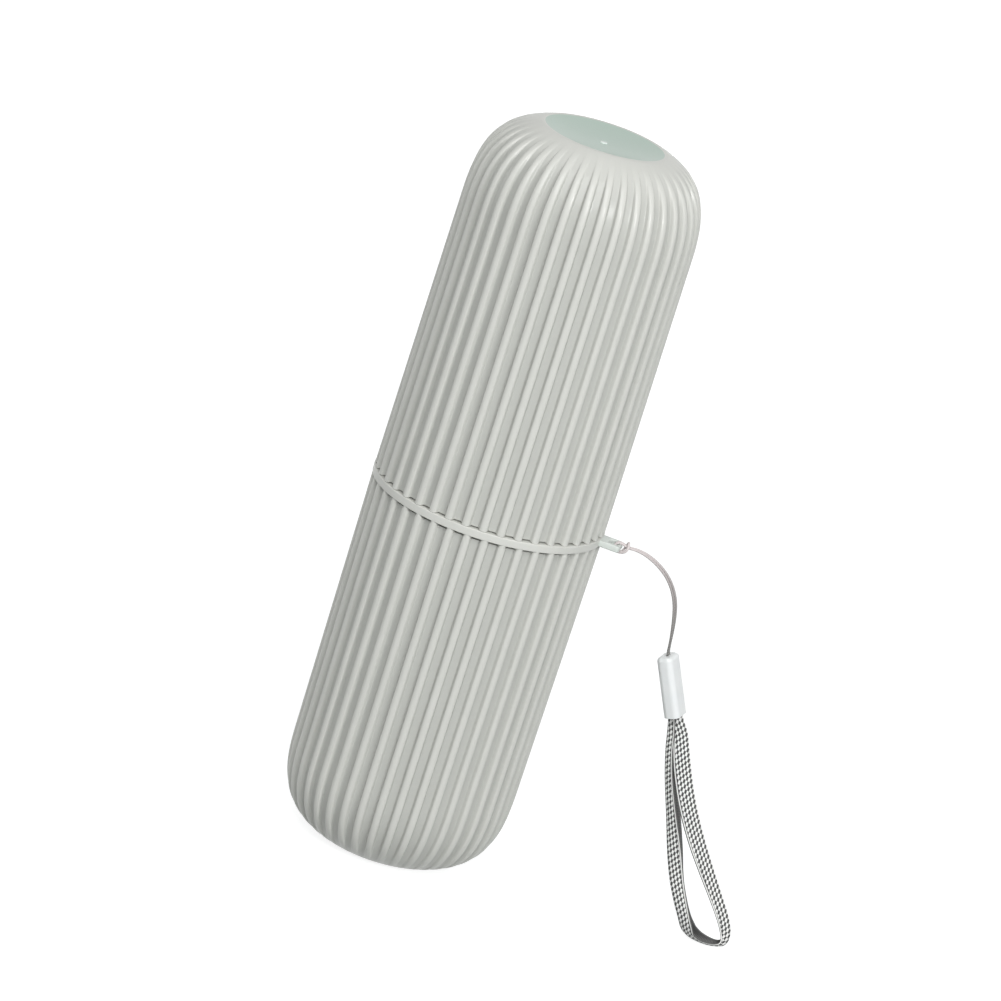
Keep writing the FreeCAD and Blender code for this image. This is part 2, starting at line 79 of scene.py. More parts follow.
def linear(colour: str) -> tuple[float, float, float, float]:
    """Turns an sRGB hex colour into linear light.

    Args:
        colour: Six hex digits after a hash sign.

    Returns:
        Red, green, blue and an alpha of 1.
    """
    channels = [int(colour[start : start + 2], 16) / 255 for start in (1, 3, 5)]
    red, green, blue = (c / 12.92 if c <= 0.04045 else ((c + 0.055) / 1.055) ** 2.4 for c in channels)
    return red, green, blue, 1.0


def ease(value: float) -> float:
    """Rises smoothly from 0 to 1 while the value does, and stays level outside."""
    part = min(max(value, 0), 1)
    return part * part * (3 - 2 * part)


def add_node(
    tree: bpy.types.NodeTree, kind: str, inputs: dict | None = None, **settings: object
) -> bpy.types.Node:
    """Adds a node with its settings, values and links.

    Args:
        tree: The node tree.
        kind: The node's type.
        inputs: By name or number, a value, an output socket, or a node for its first output in use.
        settings: The node's own properties.

    Returns:
        The new node.
    """
    node = tree.nodes.new(kind)
    for name, value in settings.items():
        setattr(node, name, value)
    for key, value in (inputs or {}).items():
        if isinstance(value, bpy.types.Node):
            value = next(output for output in value.outputs if output.enabled)
        if isinstance(value, bpy.types.NodeSocket):
            tree.links.new(value, node.inputs[key])
        else:
            node.inputs[key].default_value = value
    return node


def new_material(name: str) -> tuple[bpy.types.Material, bpy.types.NodeTree]:
    """Makes a material with an empty node tree.

    Args:
        name: The material's name.

    Returns:
        The material and its tree.
    """
    material = bpy.data.materials.new(name)
    material.use_nodes = True
    material.node_tree.nodes.clear()
    return material, material.node_tree


def add_piece(name: str, mesh: bpy.types.Mesh, materials: Sequence[bpy.types.Material]) -> bpy.types.Object:
    """Puts a mesh into the scene as a smooth-shaded piece.

    Args:
        name: The piece's name.
        mesh: Its mesh, in metres.
        materials: Its materials, in slot order.

    Returns:
        The piece.
    """
    for material in materials:
        mesh.materials.append(material)
    mesh.shade_smooth()
    piece = bpy.data.objects.new(name, mesh)
    bpy.context.scene.collection.objects.link(piece)
    return piece


def loft(name: str, points: Sequence[Vector], around: int) -> bpy.types.Mesh:
    """Joins rings of points into a closed mesh, with a face across each end.

    Args:
        name: The mesh's name.
        points: The points of all the rings, in millimetres, one ring after another.
        around: The number of points in a ring.

    Returns:
        The mesh, in metres, whose first two faces are its ends.
    """
    last = len(points) - around
    faces = [tuple(range(around)), tuple(range(last, len(points)))]
    for low in range(0, last, around):
        for index in range(around):
            after = (index + 1) % around
            faces.append((low + index, low + after, low + around + after, low + around + index))
    mesh = bpy.data.meshes.new(name)
    mesh.from_pydata([point * MM for point in points], [], faces)
    work = bmesh.new()
    work.from_mesh(mesh)
    bmesh.ops.recalc_face_normals(work, faces=work.faces)
    work.to_mesh(mesh)
    work.free()
    return mesh


def set_values(mesh: bpy.types.Mesh, name: str, values: Sequence[float]) -> None:
    """Stores a number at each point of a mesh, for its material to read."""
    mesh.attributes.new(name, "FLOAT", "POINT").data.foreach_set("value", values)


def smooth_path(points: Sequence[Vector], steps: int) -> list[Vector]:
    """Reads points along the NURBS spline that has a route's points as its control points.

    Args:
        points: The route, in millimetres.
        steps: Points read for each control point.

    Returns:
        Points along the spline, in millimetres.
    """
    curve = bpy.data.curves.new("route", "CURVE")
    curve.dimensions = "3D"
    spline = curve.splines.new("NURBS")
    spline.points.add(len(points) - 1)
    for target, point in zip(spline.points, points):
        target.co = (*point, 1)
    spline.order_u = 3
    spline.use_endpoint_u = True
    spline.resolution_u = steps
    holder = bpy.data.objects.new("route", curve)
    mesh = bpy.data.meshes.new_from_object(holder)
    line = [vertex.co.copy() for vertex in mesh.vertices]
    bpy.data.objects.remove(holder)
    bpy.data.curves.remove(curve)
    bpy.data.meshes.remove(mesh)
    return line


def lengths_along(line: Sequence[Vector]) -> list[float]:
    """Measures along a line.

    Args:
        line: The line's points.

    Returns:
        The distance from the line's start at each of its points.
    """
    total = 0.0
    result = [0.0]
    for start, end in zip(line, line[1:]):
        total += (end - start).length
        result.append(total)
    return result


# Finishes


@dataclass(frozen=True)
class SatinPolypropylene:
    """Moulded polypropylene: the mould's fine grain spreads the gloss; painted shade darkens the grooves, and
    a painted mint reflection tints the polished end.
    """

    name: str = "satin_moulded_polypropylene"
    body: str = "#D8D8D3"
    shade: str = "#D0D1CB"
    # Painted shade: the grooves' colour, darker where the ribs shade them.
    groove: str = "#BCBDB8"
    # Painted reflection: a mint cast on the polished end, as if it mirrored green surroundings.
    polished_end_painted_reflection: str = "#B0C3B8"
    roughness: float = 0.45
    flat_roughness: float = 0.35
    grain_roughness: float = 0.12
    specular: float = 0.25
    skin_gloss: float = 0.4
    skin_roughness: float = 0.2
    ior: float = 1.49
    mottle_mm: float = 9.0
    grain_mm: float = 0.7
    grain_height_mm: float = 0.012

    def material(self) -> bpy.types.Material:
        """Builds the material. The real grain is about 0.1 mm, too fine to show, so it is drawn coarser.

        Returns:
            The material.
        """
        material, tree = new_material(self.name)
        place = add_node(tree, "ShaderNodeTexCoord").outputs["Object"]
        depth = add_node(tree, "ShaderNodeAttribute", attribute_name="groove").outputs["Fac"]
        flat = add_node(tree, "ShaderNodeAttribute", attribute_name="polished_end_painted_reflection").outputs["Fac"]
        mottle = {"Vector": place, "Scale": 1 / (self.mottle_mm * MM), "Detail": 4.0}
        cloud = add_node(tree, "ShaderNodeTexNoise", mottle)
        speckle = {"Vector": place, "Scale": 1 / (self.grain_mm * MM), "Detail": 2.0}
        grain = add_node(tree, "ShaderNodeTexNoise", speckle)
        colour = linear(self.body)
        # Random mottle first, then painted shade in the grooves, then the painted mint reflection on the end.
        for share, other in ((cloud, self.shade), (depth, self.groove), (flat, self.polished_end_painted_reflection)):
            mix = {0: share, MIX_A: colour, MIX_B: linear(other)}
            colour = add_node(tree, "ShaderNodeMix", mix, data_type="RGBA")
        polish = {"Value": flat, "To Min": self.roughness, "To Max": self.flat_roughness}
        rough = add_node(tree, "ShaderNodeMapRange", polish)
        uneven = add_node(
            tree, "ShaderNodeMath", {0: grain, 1: self.grain_roughness, 2: rough}, operation="MULTIPLY_ADD"
        )
        bump = add_node(
            tree, "ShaderNodeBump", {"Height": grain, "Distance": self.grain_height_mm * MM, "Strength": 1.0}
        )
        shader = add_node(
            tree,
            "ShaderNodeBsdfPrincipled",
            {
                "Base Color": colour,
                "Roughness": uneven,
                "Normal": bump,
                "IOR": self.ior,
                "Specular IOR Level": self.specular,
                "Coat Weight": self.skin_gloss,
                "Coat Roughness": self.skin_roughness,
            },
        )
        add_node(tree, "ShaderNodeOutputMaterial", {"Surface": shader})
        return material


@dataclass(frozen=True)
class WhitePolyethylene:
    """Moulded white polyethylene: waxy and slightly see-through, so its edges glow and its gloss is soft."""

    body: str = "#F4F5F5"
    cloudy: str = "#E9EDEE"
    roughness: float = 0.28
    ior: float = 1.51
    see_through: float = 0.15
    see_through_mm: float = 1.0
    cloud_mm: float = 5.0
    flow_mm: float = 0.6
    flow_height_mm: float = 0.006

    def material(self) -> bpy.types.Material:
        """Builds the material.

        Returns:
            The material.
        """
        material, tree = new_material("white_moulded_polyethylene")
        place = add_node(tree, "ShaderNodeTexCoord").outputs["Object"]
        cloud = add_node(tree, "ShaderNodeTexNoise", {"Vector": place, "Scale": 1 / (self.cloud_mm * MM)})
        flow = add_node(tree, "ShaderNodeTexNoise", {"Vector": place, "Scale": 1 / (self.flow_mm * MM)})
        mix = {0: cloud, MIX_A: linear(self.body), MIX_B: linear(self.cloudy)}
        bump = add_node(
            tree, "ShaderNodeBump", {"Height": flow, "Distance": self.flow_height_mm * MM, "Strength": 1.0}
        )
        shader = add_node(
            tree,
            "ShaderNodeBsdfPrincipled",
            {
                "Base Color": add_node(tree, "ShaderNodeMix", mix, data_type="RGBA"),
                "Roughness": self.roughness,
                "IOR": self.ior,
                "Normal": bump,
                "Subsurface Weight": self.see_through,
                "Subsurface Scale": self.see_through_mm * MM,
                "Subsurface Radius": (1.0, 1.0, 1.0),
            },
        )
        add_node(tree, "ShaderNodeOutputMaterial", {"Surface": shader})
        return material


@dataclass(frozen=True)
class TwistedPolyester:
    """Twisted polyester cord: warm grey filaments with painted shade in the lay's furrows, and a dry sheen.
    """

    crown: str = "#8F8E8B"
    furrow_painted_shade: str = "#4C4B49"
    bleached: str = "#E6DCDC"
    furrow_end: float = 0.2
    crown_start: float = 1.3
    roughness: float = 0.75
    sheen: float = 0.2
    fibre_mm: float = 0.12
    fibre_share: float = 0.5
    fibre_height_mm: float = 0.02

    def material(self) -> bpy.types.Material:
        """Builds the material from how high on a ply and how worn each point is.

        Real fibres, about 0.02 mm thick, are too fine to show, so they are drawn coarser.

        Returns:
            The material.
        """
        material, tree = new_material("twisted_polyester_cord")
        place = add_node(tree, "ShaderNodeTexCoord").outputs["Object"]
        lay = add_node(tree, "ShaderNodeAttribute", attribute_name="lay").outputs["Fac"]
        worn = add_node(tree, "ShaderNodeAttribute", attribute_name="worn").outputs["Fac"]
        fibre = add_node(tree, "ShaderNodeTexNoise", {"Vector": place, "Scale": 1 / (self.fibre_mm * MM)})
        ragged = add_node(
            tree, "ShaderNodeMath", {0: fibre, 1: self.fibre_share, 2: lay}, operation="MULTIPLY_ADD"
        )
        # Painted shade: darker low in the lay's furrows, lighter on the plies' crowns.
        high = {"Value": ragged, "From Min": self.furrow_end, "From Max": self.crown_start}
        colour = linear(self.furrow_painted_shade)
        for share, other in ((add_node(tree, "ShaderNodeMapRange", high), self.crown), (worn, self.bleached)):
            mix = {0: share, MIX_A: colour, MIX_B: linear(other)}
            colour = add_node(tree, "ShaderNodeMix", mix, data_type="RGBA")
        bump = add_node(
            tree, "ShaderNodeBump", {"Height": fibre, "Distance": self.fibre_height_mm * MM, "Strength": 1.0}
        )
        shader = add_node(
            tree,
            "ShaderNodeBsdfPrincipled",
            {"Base Color": colour, "Roughness": self.roughness, "Normal": bump, "Sheen Weight": self.sheen},
        )
        add_node(tree, "ShaderNodeOutputMaterial", {"Surface": shader})
        return material


@dataclass(frozen=True)
class WovenPolyester:
    """Woven polyester webbing: black and white floats on its outer face, offset like bird's-eye cloth."""

    white: str = "#F6F6F4"
    black: str = "#404040"
    black_end: float = -0.05
    white_start: float = 0.6
    roughness: float = 0.7
    sheen: float = 0.1
    selvedge_mm: float = 0.3
    groove_mm: float = 0.12
    column_mm: float = 0.92
    float_mm: float = 1.5
    stagger: float = 0.4
    fibre_mm: float = 0.15
    fibre_share: float = 0.5

    def wave(self, across: float, along: float) -> float:
        """Gives the height of the weave at a place on the outer face.

        Args:
            across: Distance from the webbing's middle.
            along: Distance along the webbing.

        Returns:
            1 in the middle of each white float and -1 between the floats.
        """
        column = math.cos(2 * math.pi * across / self.column_mm)
        float_row = math.cos(2 * math.pi * (along / self.float_mm - self.stagger * across / self.column_mm))
        return (column + float_row) / 2

    def material(self) -> bpy.types.Material:
        """Builds the material from the place across, along and in from the webbing's edge.

        Real fibres, about 0.02 mm thick, are too fine to show, so they are drawn coarser.

        Returns:
            The material.
        """
        material, tree = new_material("woven_polyester_birdseye")
        place = add_node(tree, "ShaderNodeAttribute", attribute_name="weave_mm").outputs["Vector"]
        split = add_node(tree, "ShaderNodeSeparateXYZ", {"Vector": place}).outputs
        slant = {0: split["X"], 1: -self.stagger * self.float_mm / self.column_mm, 2: split["Y"]}
        row = add_node(tree, "ShaderNodeMath", slant, operation="MULTIPLY_ADD")
        waves = []
        for distance, size in ((split["X"], self.column_mm), (row, self.float_mm)):
            turn = {0: distance, 1: 2 * math.pi / size}
            angle = add_node(tree, "ShaderNodeMath", turn, operation="MULTIPLY")
            waves.append(add_node(tree, "ShaderNodeMath", {0: angle}, operation="COSINE"))
        wave = add_node(tree, "ShaderNodeMath", dict(enumerate(waves)), operation="ADD")
        fibre = add_node(
            tree, "ShaderNodeTexNoise", {"Vector": place, "Scale": 1 / self.fibre_mm, "Detail": 1.0}
        )
        ragged = add_node(
            tree, "ShaderNodeMath", {0: fibre, 1: self.fibre_share, 2: wave}, operation="MULTIPLY_ADD"
        )
        floats = {"Value": ragged, "From Min": self.black_end, "From Max": self.white_start}
        share = add_node(tree, "ShaderNodeMapRange", floats, interpolation_type="SMOOTHSTEP")
        edge = {0: split["Z"], 1: self.selvedge_mm}
        selvedge = add_node(tree, "ShaderNodeMath", edge, operation="LESS_THAN")
        inside = {0: split["Z"], 1: self.selvedge_mm + self.groove_mm}
        middle = add_node(tree, "ShaderNodeMath", inside, operation="GREATER_THAN")
        white = add_node(tree, "ShaderNodeMath", {0: share, 1: middle, 2: selvedge}, operation="MULTIPLY_ADD")
        mix = {0: white, MIX_A: linear(self.black), MIX_B: linear(self.white)}
        colour = add_node(tree, "ShaderNodeMix", mix, data_type="RGBA")
        shader = add_node(
            tree,
            "ShaderNodeBsdfPrincipled",
            {"Base Color": colour, "Roughness": self.roughness, "Sheen Weight": self.sheen},
        )
        add_node(tree, "ShaderNodeOutputMaterial", {"Surface": shader})
        return material


@dataclass(frozen=True)
class PlainWeave:
    """Plain-woven polyester in one colour: its cross threads show as fine ribs across the webbing."""

    thread: str = "#6C6C6B"
    gap: str = "#3A3A3A"
    gap_end: float = -0.6
    thread_start: float = 1.6
    thread_mm: float = 0.45
    thread_height_mm: float = 0.02
    fibre_share: float = 1.6
    roughness: float = 0.75
    sheen: float = 0.1

    def material(self) -> bpy.types.Material:
        """Builds the material from the distance along the webbing.

        Returns:
            The material.
        """
        material, tree = new_material("woven_polyester_inner_face")
        place = add_node(tree, "ShaderNodeAttribute", attribute_name="weave_mm").outputs["Vector"]
        along = add_node(tree, "ShaderNodeSeparateXYZ", {"Vector": place}).outputs["Y"]
        turn = {0: along, 1: 2 * math.pi / self.thread_mm}
        angle = add_node(tree, "ShaderNodeMath", turn, operation="MULTIPLY")
        wave = add_node(tree, "ShaderNodeMath", {0: angle}, operation="COSINE")
        fibre = add_node(
            tree, "ShaderNodeTexNoise", {"Vector": place, "Scale": 1 / self.thread_mm, "Detail": 2.0}
        )
        ragged = add_node(
            tree, "ShaderNodeMath", {0: fibre, 1: self.fibre_share, 2: wave}, operation="MULTIPLY_ADD"
        )
        threads = {"Value": ragged, "From Min": self.gap_end, "From Max": self.thread_start}
        share = add_node(tree, "ShaderNodeMapRange", threads)
        mix = {0: share, MIX_A: linear(self.gap), MIX_B: linear(self.thread)}
        colour = add_node(tree, "ShaderNodeMix", mix, data_type="RGBA")
        bump = add_node(
            tree, "ShaderNodeBump", {"Height": wave, "Distance": self.thread_height_mm * MM, "Strength": 1.0}
        )
        shader = add_node(
            tree,
            "ShaderNodeBsdfPrincipled",
            {"Base Color": colour, "Roughness": self.roughness, "Normal": bump, "Sheen Weight": self.sheen},
        )
        add_node(tree, "ShaderNodeOutputMaterial", {"Surface": shader})
        return material


# Cups


@dataclass(frozen=True)
class CaseSizes:
    """The sizes of the two cups and of the mark on the cap's end."""

    length: float = 210
    ring_radius: float = 32.8
    crest_drop: float = 0.1
    side_draft: float = 0.6
    dome_height: float = 24.8
    dome_fullness: float = 1.2
    end_radius: float = 17.3
    end_slope: float = 16.5
    polish_radius: float = 16.6
    polish_edge: float = 0.0166
    rib_count: int = 41
    rib_depth: float = 1.3
    rib_share: float = 0.47
    rib_crown: float = 0.22
    flank_share: float = 0.14
    seam_height: float = 105.2
    seam_gap: float = 0.2
    ring_height: float = 2.2
    ring_round: float = 0.3
    ring_under_round: float = 0.15
    ring_under_sweep: float = 60
    cap_wall: float = 0.9
    cap_roof: float = 2
    cap_inner_round: float = 18
    fit_clearance: float = 0.2
    neck_height: float = 12
    neck_wall: float = 1
    neck_lead: float = 0.5
    cup_floor: float = 2.2
    cup_inner_round: float = 14
    gate_radius: float = 1.1
    gate_height: float = 0.25
    bore_past_neck: float = 1
    dish: float = 1.6
    fade_start: float = 0.4
    pocket_height: float = 0.85
    pocket_depth: float = 2.3
    crest_reach: float = 0.14
    groove_lift: float = 0.25

    @property
    def mouth_radius(self) -> float:
        """The rib crests beside the seam."""
        return self.ring_radius - self.crest_drop

    @property
    def cap_base(self) -> float:
        """The height of the cap's mouth."""
        return self.seam_height + self.seam_gap

    @property
    def neck_top(self) -> float:
        """The height of the neck's rim."""
        return self.seam_height + self.neck_height

    @property
    def bore_top(self) -> float:
        """The height at which the cap's straight bore ends."""
        return self.neck_top + self.bore_past_neck

    @property
    def bore_radius(self) -> float:
        """The cap's straight bore."""
        side = self.length - self.dome_height - self.cap_base
        draft = self.side_draft * (self.bore_top - self.cap_base) / side
        return self.mouth_radius - self.rib_depth - draft - self.cap_wall

    @property
    def roof_radius(self) -> float:
        """The cap's bore where it meets the end wall."""
        return self.mouth_radius - self.rib_depth - self.side_draft - self.cap_wall

    @property
    def neck_radius(self) -> float:
        """The outside of the neck."""
        return self.bore_radius - self.fit_clearance


@dataclass
class Ring:
    """One ring of points round the axis, each with its depth in a groove. Flat is 1 on the polished end."""

    points: list[Vector]
    depths: list[float]
    flat: float = 0.0


@dataclass
class RibbedCup:
    """A cup with a ribbed side and a domed end, as rings of points from its inside to its flat end."""

    name: str
    body: Body
    node: str
    sizes: CaseSizes
    mouth_height: float
    end_height: float
    turn: float
    dish: float = 0
    crest_steps: int = 6
    flank_steps: int = 8
    groove_steps: int = 4
    side_rows: int = 12
    dome_rows: int = 40
    end_rows: int = 24
    corner_steps: int = 8

    def rib_samples(self) -> list[tuple[float, float]]:
        """Samples one rib pitch.

        Returns:
            Shares of the pitch from a crest's middle, each with its depth: 0 on a crest and 1 in a groove.
        """
        crest = (self.sizes.rib_share - self.sizes.flank_share) / 2
        groove = (self.sizes.rib_share + self.sizes.flank_share) / 2
        crown = self.sizes.rib_crown / self.sizes.rib_depth
        stops = [(-crest, crest, self.crest_steps), (crest, groove, self.flank_steps)]
        stops += [(groove, 1 - groove, self.groove_steps), (1 - groove, 1 - crest, self.flank_steps)]
        samples = []
        for start, end, steps in stops:
            for step in range(steps):
                share = start + (end - start) * step / steps
                beside = min(abs(share), 1 - share)
                fall = ease((beside - crest) / (groove - crest))
                rounded = crown * min(beside / crest, 1) ** 2
                samples.append((share, rounded + (1 - rounded) * fall))
        return samples

    def around(self) -> list[tuple[float, float]]:
        """Goes round a whole ring.

        Returns:
            Each point's angle in radians, and its depth: 0 on a crest and 1 in a groove.
        """
        pitch = 2 * math.pi / self.sizes.rib_count
        start = math.radians(self.turn)
        ribs = range(self.sizes.rib_count)
        samples = self.rib_samples()
        return [(start + (rib + share) * pitch, depth) for rib in ribs for share, depth in samples]

    def rib_ring(self, crest: Vector, groove: Vector) -> Ring:
        """Makes a ring of ribbed wall.

        Args:
            crest: The crests' radius and height.
            groove: The grooves' radius and height.

        Returns:
            The ring.
        """
        points = []
        depths = []
        for angle, depth in self.around():
            spot = crest.lerp(groove, depth)
            points.append(Vector((spot.x * math.cos(angle), spot.x * math.sin(angle), spot.y)))
            depths.append(depth)
        return Ring(points, depths)

    def plain_ring(self, radius: float, height: float, flat: float = 0.0) -> Ring:
        """Makes a round ring.

        Args:
            radius: The ring's radius.
            height: The ring's height.
            flat: 1 on the polished end, 0 elsewhere.

        Returns:
            The ring.
        """
        place = Vector((radius, height))
        ring = self.rib_ring(place, place)
        return Ring(ring.points, [0.0] * len(ring.points), flat)

    def arc_rings(self, centre: Vector, radius: float, start: float, end: float) -> list[Ring]:
        """Makes rings along a rounded corner.

        Args:
            centre: The radius and height of the rounding's centre.
            radius: The rounding's own radius.
            start: The angle of the cup's section at which it starts.
            end: The angle at which it ends.

        Returns:
            The rings in order.
        """
        rings = []
        for step in range(self.corner_steps + 1):
            angle = math.radians(start + (end - start) * step / self.corner_steps)
            out = centre.x + radius * math.cos(angle)
            rings.append(self.plain_ring(out, centre.y + radius * math.sin(angle)))
        return rings

    def outside(self) -> list[Ring]:
        """Makes the ribbed side, the dome and the flat end.

        Returns:
            The rings from the mouth to the end.
        """
        sizes = self.sizes
        upward = math.copysign(1, self.end_height - self.mouth_height)
        mouth = Vector((sizes.mouth_radius, self.mouth_height))
        shoulder = Vector((mouth.x - sizes.side_draft, self.end_height - upward * sizes.dome_height))
        depth = Vector((sizes.rib_depth, 0))
        rings = self.mouth_rings(mouth, upward)
        for row in range(1, self.side_rows):
            crest = mouth.lerp(shoulder, row / self.side_rows)
            rings.append(self.rib_ring(crest, crest - depth))
        slope = math.radians(sizes.end_slope)
        end = Vector((sizes.end_radius, self.end_height))
        crest_corner = Vector((shoulder.x, end.y - upward * (shoulder.x - end.x) * math.tan(slope)))
        sunk = upward * sizes.rib_depth * (math.tan(slope) - 1 / math.cos(slope))
        groove_corner = Vector((shoulder.x - sizes.rib_depth, crest_corner.y + sunk))
        for row in range(self.dome_rows + 1):
            part = row / self.dome_rows
            crest = self.on_dome(shoulder, crest_corner, end, part)
            groove = self.on_dome(shoulder - depth, groove_corner, end, part)
            kept = 1 - ease((part - sizes.fade_start) / (1 - sizes.fade_start))
            ring = self.rib_ring(crest, crest.lerp(groove, kept))
            rings.append(Ring(ring.points, [kept * value for value in ring.depths]))
        radii = [sizes.polish_radius * (1 - step / self.end_rows) for step in range(self.end_rows)]
        for radius in [sizes.polish_radius + sizes.polish_edge] + radii:
            dish = self.dish * (1 - (radius / end.x) ** 2)
            rings.append(self.plain_ring(radius, end.y - upward * dish, float(radius <= sizes.polish_radius)))
        return rings

    def mouth_rings(self, mouth: Vector, upward: float) -> list[Ring]:
        """Makes the ribbed rings beside the seam.

        Args:
            mouth: The radius and height of the crests at the mouth.
            upward: 1 where the cup's end is above its mouth, -1 where it is below.

        Returns:
            The rings in order.
        """
        raise NotImplementedError

    def on_dome(self, start: Vector, corner: Vector, end: Vector, part: float) -> Vector:
        """Gives a point on the dome's conic section.

        Args:
            start: The radius and height where the dome leaves the side.
            corner: Where the tangents at its two ends meet.
            end: The edge of the flat end.
            part: How far along the dome, from 0 to 1.

        Returns:
            The point's radius and height.
        """
        first = (1 - part) ** 2
        middle = 2 * self.sizes.dome_fullness * part * (1 - part)
        last = part**2
        return (first * start + middle * corner + last * end) / (first + middle + last)

    def inside(self) -> list[Ring]:
        """Makes the rings from the middle of the inside to the first ribbed ring.

        Returns:
            The rings in order.
        """
        raise NotImplementedError

    def build(self, material: bpy.types.Material) -> bpy.types.Object:
        """Builds the cup as one closed shell and dresses it.

        Args:
            material: The cup's plastic.

        Returns:
            The finished piece.
        """
        rings = self.inside() + self.outside()
        points = [point for ring in rings for point in ring.points]
        mesh = loft(self.name, points, len(rings[0].points))
        # The groove depth carries the painted shade that darkens the grooves.
        set_values(mesh, "groove", [depth for ring in rings for depth in ring.depths])
        set_values(mesh, "polished_end_painted_reflection", [ring.flat for ring in rings for _ in ring.points])
        piece = add_piece(self.name, mesh, [material])
        mesh.set_sharp_from_angle(angle=SHARP_EDGE)
        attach(piece, self.body.value)
        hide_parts(self.node)
        return piece


@dataclass
class LowerCup(RibbedCup):
    """The lower cup, with the rim ring and the neck that the cap pushes onto."""

    def inside(self) -> list[Ring]:
        """Makes the floor, the bore, the neck and the rim ring.

        Returns:
            The rings from the floor to the underside of the rim ring.
        """
        sizes = self.sizes
        top_radius = sizes.neck_radius - sizes.neck_wall
        floor_radius = top_radius - sizes.side_draft
        corner = Vector((floor_radius - sizes.cup_inner_round, sizes.cup_floor + sizes.cup_inner_round))
        rings = self.arc_rings(corner, sizes.cup_inner_round, -90, 0)
        rings.append(self.plain_ring(top_radius, sizes.neck_top))
        rings.append(self.plain_ring(sizes.neck_radius - sizes.neck_lead, sizes.neck_top))
        rings.append(self.plain_ring(sizes.neck_radius, sizes.neck_top - sizes.neck_lead))
        rings.append(self.plain_ring(sizes.neck_radius, sizes.seam_height))
        edge = Vector((sizes.ring_radius - sizes.ring_round, sizes.seam_height - sizes.ring_round))
        rings += self.arc_rings(edge, sizes.ring_round, 90, 0)
        under = sizes.ring_under_round
        low = Vector((sizes.ring_radius - under, self.mouth_height + under))
        rings += self.arc_rings(low, under, 0, -sizes.ring_under_sweep)
        return rings

    def mouth_rings(self, mouth: Vector, upward: float) -> list[Ring]:
        """Makes the undercut pockets between the rim ring and the tops of the grooves.

        Args:
            mouth: The radius and height of the crests at the mouth.
            upward: 1 where the cup's end is above its mouth, -1 where it is below.

        Returns:
            The rings in order.
        """
        sizes = self.sizes
        below = mouth + Vector((0, upward * sizes.pocket_height))
        pocket = Vector((sizes.pocket_depth, 0))
        rings = [self.rib_ring(mouth, mouth - pocket), self.rib_ring(below, below - pocket)]
        rings.append(self.rib_ring(below, below - Vector((sizes.rib_depth, 0))))
        return rings


@dataclass
class UpperCup(RibbedCup):
    """The cap, with a straight bore for the neck and a dished end."""

    def inside(self) -> list[Ring]:
        """Makes the roof, the drafted bore and the straight bore.

        Returns:
            The rings from the roof to the mouth.
        """
        sizes = self.sizes
        roof = sizes.length - sizes.cap_roof
        corner = Vector((sizes.roof_radius - sizes.cap_inner_round, roof - sizes.cap_inner_round))
        rings = self.arc_rings(corner, sizes.cap_inner_round, 90, 0)
        rings.append(self.plain_ring(sizes.bore_radius, sizes.bore_top))
        rings.append(self.plain_ring(sizes.bore_radius, self.mouth_height + sizes.groove_lift))
        return rings

    def mouth_rings(self, mouth: Vector, upward: float) -> list[Ring]:
        """Makes the scalloped edge: its crests all but touch the rim ring and its grooves stand off it.

        Args:
            mouth: The radius and height of the crests at the mouth.
            upward: 1 where the cup's end is above its mouth, -1 where it is below.

        Returns:
            The rings in order.
        """
        sizes = self.sizes
        crest = mouth - Vector((0, upward * sizes.crest_reach))
        groove = mouth + Vector((-sizes.rib_depth, upward * sizes.groove_lift))
        return [self.rib_ring(crest, groove)]


@dataclass
class GateMark:
    """The small round mark that moulding leaves in the middle of the cap's end."""

    sizes: CaseSizes
    steps: int = 40
    rows: int = 8
    root: float = 0.3

    def build(self, material: bpy.types.Material) -> bpy.types.Object:
        """Builds the mark as a low button with a rounded edge.

        Args:
            material: The mark's sheared plastic.

        Returns:
            The finished piece.
        """
        sizes = self.sizes
        base = sizes.length - sizes.dish
        section = [(sizes.gate_radius, base - self.root)]
        for row in range(self.rows):
            angle = math.pi / 2 * row / self.rows
            radius = sizes.gate_radius - sizes.gate_height * (1 - math.cos(angle))
            section.append((radius, base + sizes.gate_height * math.sin(angle)))
        angles = [2 * math.pi * step / self.steps for step in range(self.steps)]
        points = [
            Vector((radius * math.cos(angle), radius * math.sin(angle), height))
            for radius, height in section
            for angle in angles
        ]
        mesh = loft("cap_gate_mark", points, self.steps)
        set_values(mesh, "polished_end_painted_reflection", [1.0] * len(points))
        piece = add_piece("cap_gate_mark", mesh, [material])
        mesh.set_sharp_from_angle(angle=SHARP_EDGE)
        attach(piece, Body.CAP.value)
        return piece


